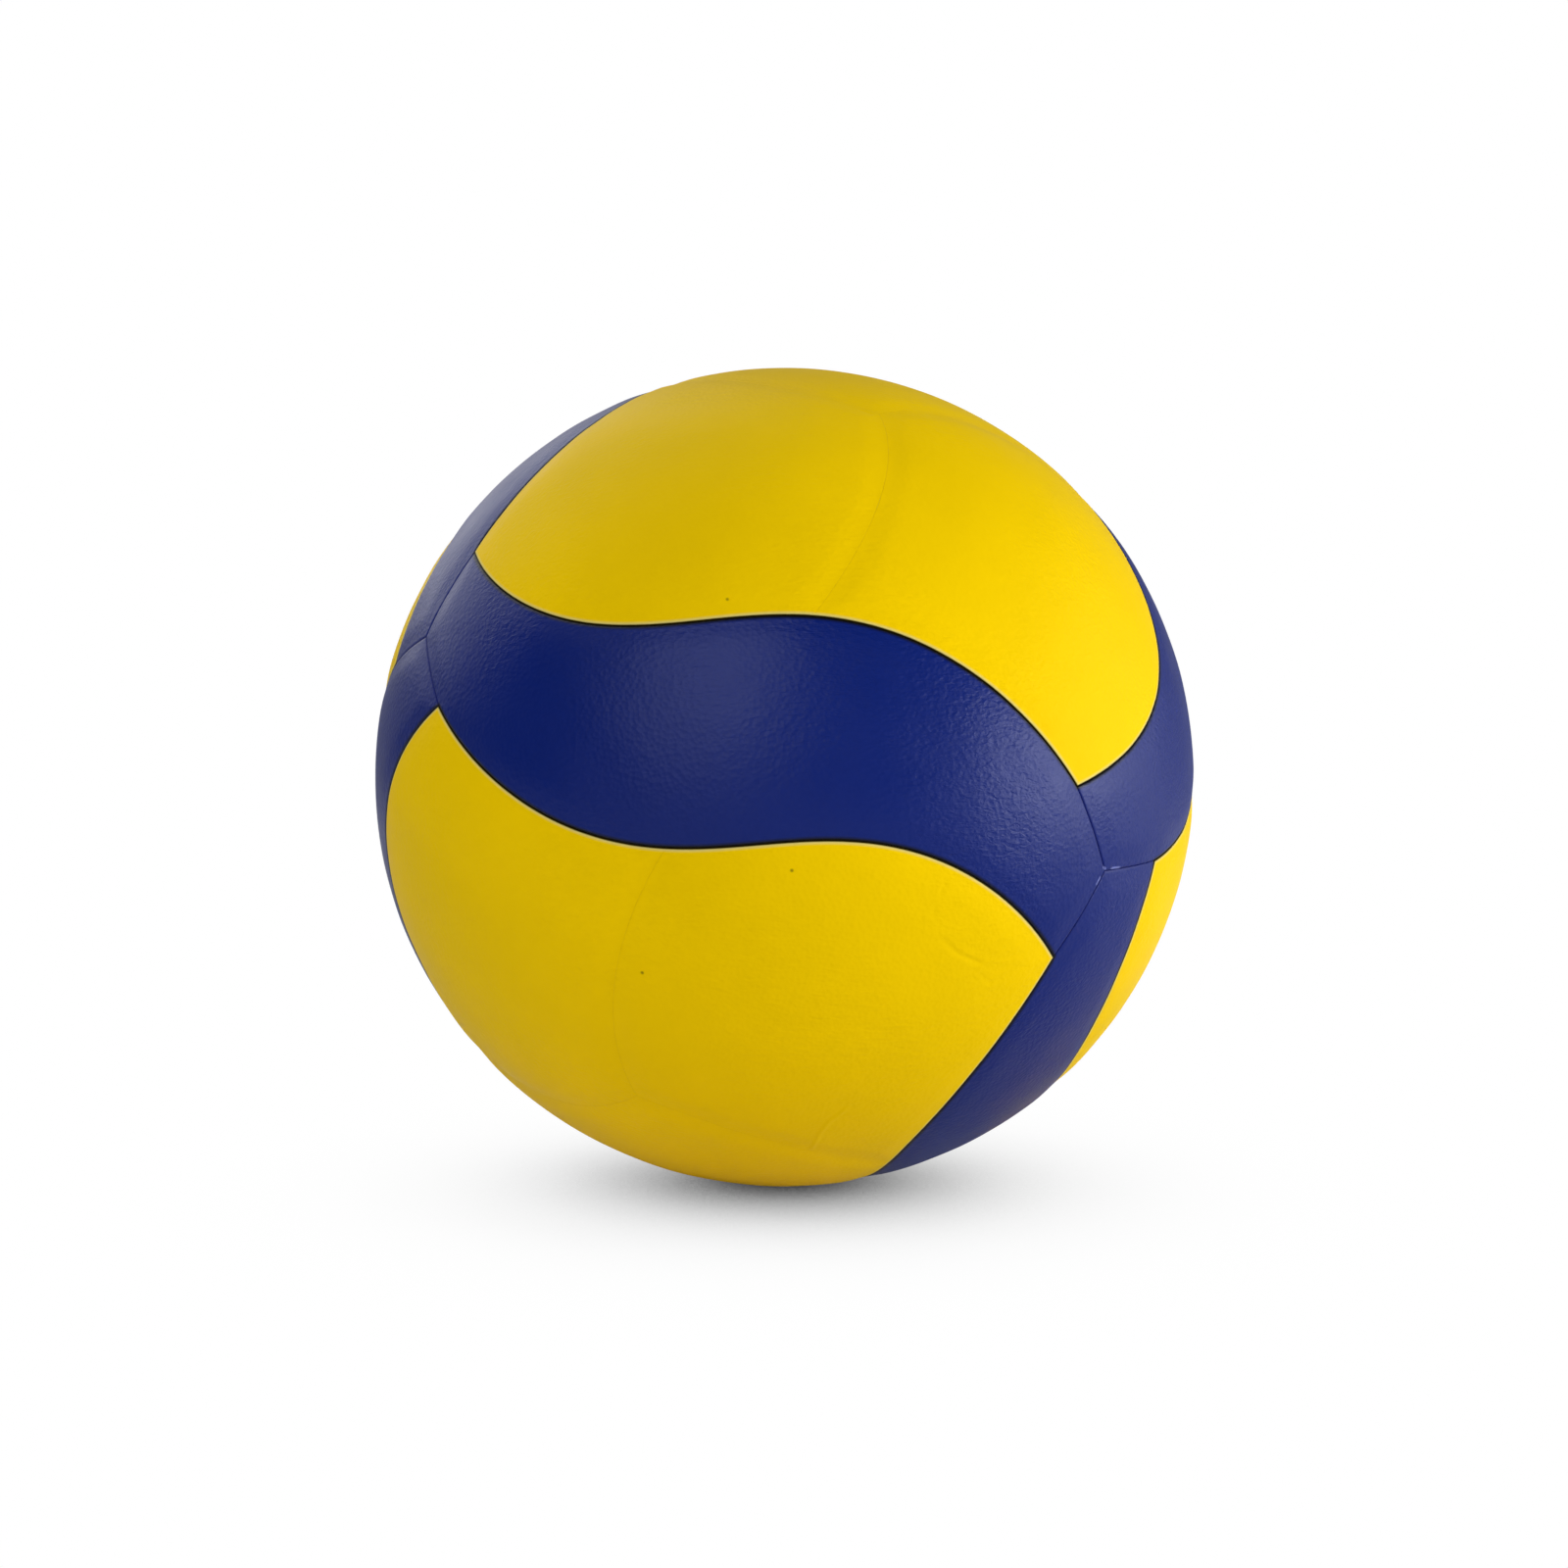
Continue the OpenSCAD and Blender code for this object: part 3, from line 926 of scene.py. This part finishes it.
# %% The eighteen skins
BODY = "root"
VALVE_STRIP = 1
BLOCK_HALF = 4
middle_row, middle_column = strip_grid.shape[0] // 2, strip_grid.shape[1] // 2
valve_block = (
    (middle_row - BLOCK_HALF, middle_row + BLOCK_HALF),
    (middle_column - BLOCK_HALF, middle_column + BLOCK_HALF),
)
BLUE_SEAMS = (BLUE_BESIDE_YELLOW_MM, BLUE_BESIDE_BLUE_MM)
YELLOW_SEAMS = (YELLOW_BESIDE_BLUE_MM, YELLOW_BESIDE_YELLOW_MM)
marked_grid = patch_grid(kite_sides, MARKED_STEP_MM)
marked_distances = seam_distances(marked_grid, kite_other, kite_own)
skins = []
for k, place in enumerate(strip_places):
    block = valve_block if k == VALVE_STRIP else None
    skin = build_panel(f"blue_skin_{k + 1}", strip_grid, strip_distances, BLUE_SEAMS, place, block)
    skin.data.materials.append(blue_leather)
    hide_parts(f"blue_panel_{k + 1}")
    skins.append(skin)
for k, place in enumerate(kite_places):
    marked = carries_marks(kite_grid, place)
    grid, distances = (marked_grid, marked_distances) if marked else (kite_grid, kite_distances)
    skin = build_panel(f"yellow_skin_{k + 1}", grid, distances, YELLOW_SEAMS, place)
    skin.data.materials.append(yellow_leather)
    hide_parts(f"yellow_panel_{k + 1}")
    skins.append(skin)
for skin in skins:
    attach(skin, BODY)
print("skins:", len(skins), "with", sum(len(s.data.polygons) for s in skins), "faces")

# %% [markdown]
# ## The valve and the layers inside
#
# These pieces keep their CAD shape. Only the valve plug's head shows, in the punched hole at the
# back, but someone may take the cover off, so every layer gets the finish of its real material:
# soft black rubber for the valve, matt butyl for the bladder, thread wound in latex, a tan
# rubber carcass, and pale closed-cell foam.

# %% Rubber and foam
def matt(name, colour, roughness, pattern_mm, depth_mm, variation=0.08):
    """A matt material whose colour and relief vary with a noise of that size in mm."""
    material, tree, shader = new_material(name)
    place = add(tree, "ShaderNodeTexCoord").outputs["Object"]
    noise = add(
        tree, "ShaderNodeTexNoise",
        {"Vector": place, "Scale": per_mm(pattern_mm), "Detail": 4.0},
    )
    amount = add(
        tree, "ShaderNodeMapRange",
        {"Value": noise.outputs["Fac"], "To Min": 1 - variation, "To Max": 1 + variation},
    )
    tint = add(
        tree, "ShaderNodeVectorMath",
        {0: linear(colour)[:3], "Scale": amount.outputs["Result"]}, operation="SCALE",
    )
    tree.links.new(tint.outputs["Vector"], shader.inputs["Base Color"])
    bump = add(tree, "ShaderNodeBump", {"Height": noise.outputs["Fac"], "Distance": depth_mm * MM})
    tree.links.new(bump.outputs["Normal"], shader.inputs["Normal"])
    # Rubber and foam have an index of about 1.5
    shader.inputs["IOR"].default_value = 1.5
    shader.inputs["Roughness"].default_value = roughness
    return material


# Colour, roughness, size of the pattern in mm and its depth in mm
finishes = {
    "valve_plug": matt("moulded_valve_rubber", "#1B1B1D", 0.5, 0.8, 0.01),
    "valve_seat": matt("moulded_butyl_rubber", "#232325", 0.6, 3.0, 0.02),
    "bladder": matt("dipped_butyl_rubber", "#262628", 0.55, 6.0, 0.03),
    "carcass": matt("moulded_natural_rubber", "#B98F63", 0.65, 2.5, 0.03),
}
foam = matt("closed_cell_foam", "#E4E2DC", 0.85, 0.5, 0.05, variation=0.04)
finishes.update({name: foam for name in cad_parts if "_pad_" in name})
print("matt materials:", sorted({finish.name for finish in finishes.values()}))

# %% Wound thread
THREAD_BAND_MM = 1.8
THREAD_DEPTH_MM = 0.1
LATEX_COLOUR = "#9A9078"
# How often the wave texture repeats in one unit at scale 1
WAVE_REPEATS = 20 / (2 * math.pi)


def wound_thread(name, colour):
    """Nylon thread wound at all angles. At 0.3 mm it is too fine to show, so it's drawn coarser."""
    material, tree, shader = new_material(name)
    place = add(tree, "ShaderNodeTexCoord").outputs["Object"]
    strands = 0.0
    for axis in ("X", "Y", "Z"):
        wave = add(
            tree, "ShaderNodeTexWave",
            {
                "Vector": place, "Scale": per_mm(THREAD_BAND_MM * WAVE_REPEATS),
                "Distortion": 1.5, "Detail": 1.0,
            },
            bands_direction=axis,
        )
        highest = add(
            tree, "ShaderNodeMath", {0: strands, 1: wave.outputs["Fac"]}, operation="MAXIMUM",
        )
        strands = highest.outputs["Value"]
    shade = add(
        tree, "ShaderNodeMix",
        {"Factor": strands, "A": linear(LATEX_COLOUR), "B": linear(colour)}, data_type="RGBA",
    )
    tree.links.new(shade.outputs["Result"], shader.inputs["Base Color"])
    bump = add(tree, "ShaderNodeBump", {"Height": strands, "Distance": THREAD_DEPTH_MM * MM})
    tree.links.new(bump.outputs["Normal"], shader.inputs["Normal"])
    # Nylon has an index of about 1.53, and the latex over it is satin
    shader.inputs["IOR"].default_value = 1.53
    shader.inputs["Roughness"].default_value = 0.45
    return material


finishes["thread_winding"] = wound_thread("nylon_thread_in_latex", "#E2DCC8")
print("thread band in mm:", THREAD_BAND_MM)

# %% Every inner layer takes its finish
for name, finish in finishes.items():
    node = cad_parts[name]
    node.data.materials.clear()
    node.data.materials.append(finish)
print("dressed CAD nodes:", len(finishes))

# %% [markdown]
# ## Floor, backdrop and light
#
# The photograph is a product shot on white: a floor and a wall so bright that they vanish, and a
# soft shadow under the ball. More light would wash out the leather. Instead the floor plays two
# parts. To the light it is a disc of white paint. To the camera it is plain white, less the
# share of the sky that the ball hides from each point, which is what a soft shadow is. That sky
# is tilted towards the viewer, because the shadow in the photograph lies a little in front. The
# world is white to the camera as well, and it holds a weak pale wall behind the ball that only
# reflections see, which gives the rim its shine.

# %% The disc of the floor
FLOOR_R = 1.2
FLOOR_Z = min(cad_box[0][2], -SKIN_R)
FLOOR_RINGS = 16
FLOOR_SIDES = 64
INNER_RING_R, SECOND_RING_R = 0.004, 0.05


def build_floor():
    """A disc of rings under the ball."""
    rings = np.concatenate([[INNER_RING_R], np.linspace(SECOND_RING_R, FLOOR_R, FLOOR_RINGS)])
    turns = np.linspace(0, 2 * math.pi, FLOOR_SIDES + 1)[:-1]
    vertices = [(r * math.cos(a), r * math.sin(a), FLOOR_Z) for r in rings for a in turns]
    count = len(turns)
    faces = [list(range(count))]
    for k in range(len(rings) - 1):
        for n in range(count):
            m = (n + 1) % count
            faces.append([k * count + n, (k + 1) * count + n, (k + 1) * count + m, k * count + m])
    mesh = bpy.data.meshes.new("floor")
    mesh.from_pydata(vertices, [], faces)
    floor = bpy.data.objects.new("floor", mesh)
    bpy.context.scene.collection.objects.link(floor)
    return floor


floor = build_floor()
print("floor at z in mm:", round(FLOOR_Z / MM, 2))

# %% Its white finish
SHADE_TILT_DEGREES = 20
SHADE_POWER = 4.0
WALL_SHINE = 0.35
# The reflected wall fades in on the floor between these distances behind the ball, in metres
WALL_FROM, WALL_TO = 0.2, 0.6
PAINT_COLOUR = "#F4F4F4"


def who_sees(tree):
    """Two sockets: whether the camera sees a point itself, and whether it does in a reflection."""
    path = add(tree, "ShaderNodeLightPath")
    reflected = add(
        tree, "ShaderNodeMath",
        {0: path.outputs["Is Glossy Ray"], 1: path.outputs["Is Transmission Ray"]},
        operation="MAXIMUM",
    )
    return path.outputs["Is Camera Ray"], reflected.outputs["Value"]


def floor_finish():
    """White paint for light. For the camera it is white, less what the ball hides of the sky."""
    material, tree, shader = new_material("white_studio_floor")
    tree.nodes.remove(shader)
    tilt = math.radians(SHADE_TILT_DEGREES)
    open_sky = add(
        tree, "ShaderNodeAmbientOcclusion",
        {"Distance": FLOOR_R, "Normal": (0, -math.sin(tilt), math.cos(tilt))}, samples=16,
    )
    hidden = add(tree, "ShaderNodeMath", {0: 1.0, 1: open_sky.outputs["AO"]}, operation="SUBTRACT")
    deep = add(
        tree, "ShaderNodeMath", {0: hidden.outputs["Value"], 1: SHADE_POWER}, operation="POWER",
    )
    shaded = add(tree, "ShaderNodeMath", {0: 1.0, 1: deep.outputs["Value"]}, operation="SUBTRACT")
    shown = add(tree, "ShaderNodeEmission", {"Strength": shaded.outputs["Value"]})
    seen, reflected = who_sees(tree)
    place = add(tree, "ShaderNodeTexCoord").outputs["Object"]
    place = add(tree, "ShaderNodeSeparateXYZ", {"Vector": place})
    behind = add(
        tree, "ShaderNodeMapRange",
        {
            "Value": place.outputs["Y"], "From Min": WALL_FROM, "From Max": WALL_TO,
            "To Max": WALL_SHINE,
        },
    )
    sweep = add(
        tree, "ShaderNodeMath",
        {0: behind.outputs["Result"], 1: reflected}, operation="MULTIPLY",
    )
    glow = add(tree, "ShaderNodeEmission", {"Strength": sweep.outputs["Value"]})
    paint = add(tree, "ShaderNodeBsdfDiffuse", {"Color": linear(PAINT_COLOUR)})
    lit = add(tree, "ShaderNodeAddShader", {0: paint.outputs["BSDF"], 1: glow.outputs["Emission"]})
    both = add(
        tree, "ShaderNodeMixShader",
        {"Fac": seen, 1: lit.outputs["Shader"], 2: shown.outputs["Emission"]},
    )
    tree.links.new(both.outputs["Shader"], tree.nodes["Material Output"].inputs["Surface"])
    return material


floor.data.materials.append(floor_finish())
print("floor finish:", floor.data.materials[0].name)

# %% The white world
AMBIENT = 0.02
# A direction's Y runs from 0 at the side to 1 straight behind, and the wall fades in between these
WALL_SIDE, WALL_FULL = 0.35, 0.95
world = bpy.data.worlds.new("white_studio")
bpy.context.scene.world = world
world.use_nodes = True
sky = world.node_tree
seen, reflected = who_sees(sky)
facing = add(sky, "ShaderNodeTexCoord").outputs["Generated"]
facing = add(sky, "ShaderNodeSeparateXYZ", {"Vector": facing})
wall = add(
    sky, "ShaderNodeMapRange",
    {
        "Value": facing.outputs["Y"], "From Min": WALL_SIDE, "From Max": WALL_FULL,
        "To Max": WALL_SHINE,
    },
)
mirrored = add(
    sky, "ShaderNodeMath",
    {0: wall.outputs["Result"], 1: reflected}, operation="MULTIPLY",
)
white = add(
    sky, "ShaderNodeMath",
    {0: mirrored.outputs["Value"], 1: seen}, operation="MAXIMUM",
)
level = add(
    sky, "ShaderNodeMapRange",
    {"Value": white.outputs["Value"], "To Min": AMBIENT, "To Max": 1.0},
)
sky.links.new(level.outputs["Result"], sky.nodes["Background"].inputs["Strength"])
sky.nodes["Background"].inputs["Color"].default_value = (1, 1, 1, 1)
print("light from the white world:", AMBIENT)

# %% [markdown]
# ## Four soft lamps
#
# The light in the photograph can be read from the ball. The right side is brightest, so a wide
# softbox stands square to the right, and a smaller one low beside it makes the bright patch on
# the blue strip's right end. One in front, up and a little to the left, gives the broad shine in
# the middle of that strip. The largest hangs high at the back on the left and keeps the far side
# open. They are area lamps, because only a large soft source gives satin leather such a wide
# highlight.

# %% The lamps
LAMP_DISTANCE = 1.0
# Degrees to the right of the camera and degrees up, width and height in metres, watts
LAMPS = {
    "right_softbox": ((90, 12), (0.95, 0.63), 3.6),
    "low_right_softbox": ((69, 4.5), (0.54, 0.35), 5.1),
    "front_softbox": ((-20, 27), (0.6, 0.76), 4.4),
    "left_back_softbox": ((-132, 44), (1.06, 1.19), 5.8),
}


def hang_lamp(name, towards, size, watts):
    """An area lamp aimed at the ball."""
    side, up = (math.radians(v) for v in towards)
    data = bpy.data.lights.new(name, "AREA")
    data.shape = "RECTANGLE"
    data.size, data.size_y = size
    data.energy = watts
    lamp = bpy.data.objects.new(name, data)
    lamp.location = (
        LAMP_DISTANCE * math.sin(side) * math.cos(up),
        -LAMP_DISTANCE * math.cos(side) * math.cos(up),
        LAMP_DISTANCE * math.sin(up),
    )
    lamp.rotation_euler = (math.pi / 2 - up, 0, side)
    lamp.visible_camera = False
    bpy.context.scene.collection.objects.link(lamp)


for name, setting in LAMPS.items():
    hang_lamp(name, *setting)
print("lamps:", list(LAMPS))

# %% [markdown]
# ## The view
#
# At the end the scene is brought up to date, and the Standard view transform shows each colour as
# it is written.

# %% The end
bpy.context.view_layer.update()
bpy.context.scene.view_settings.view_transform = "Standard"
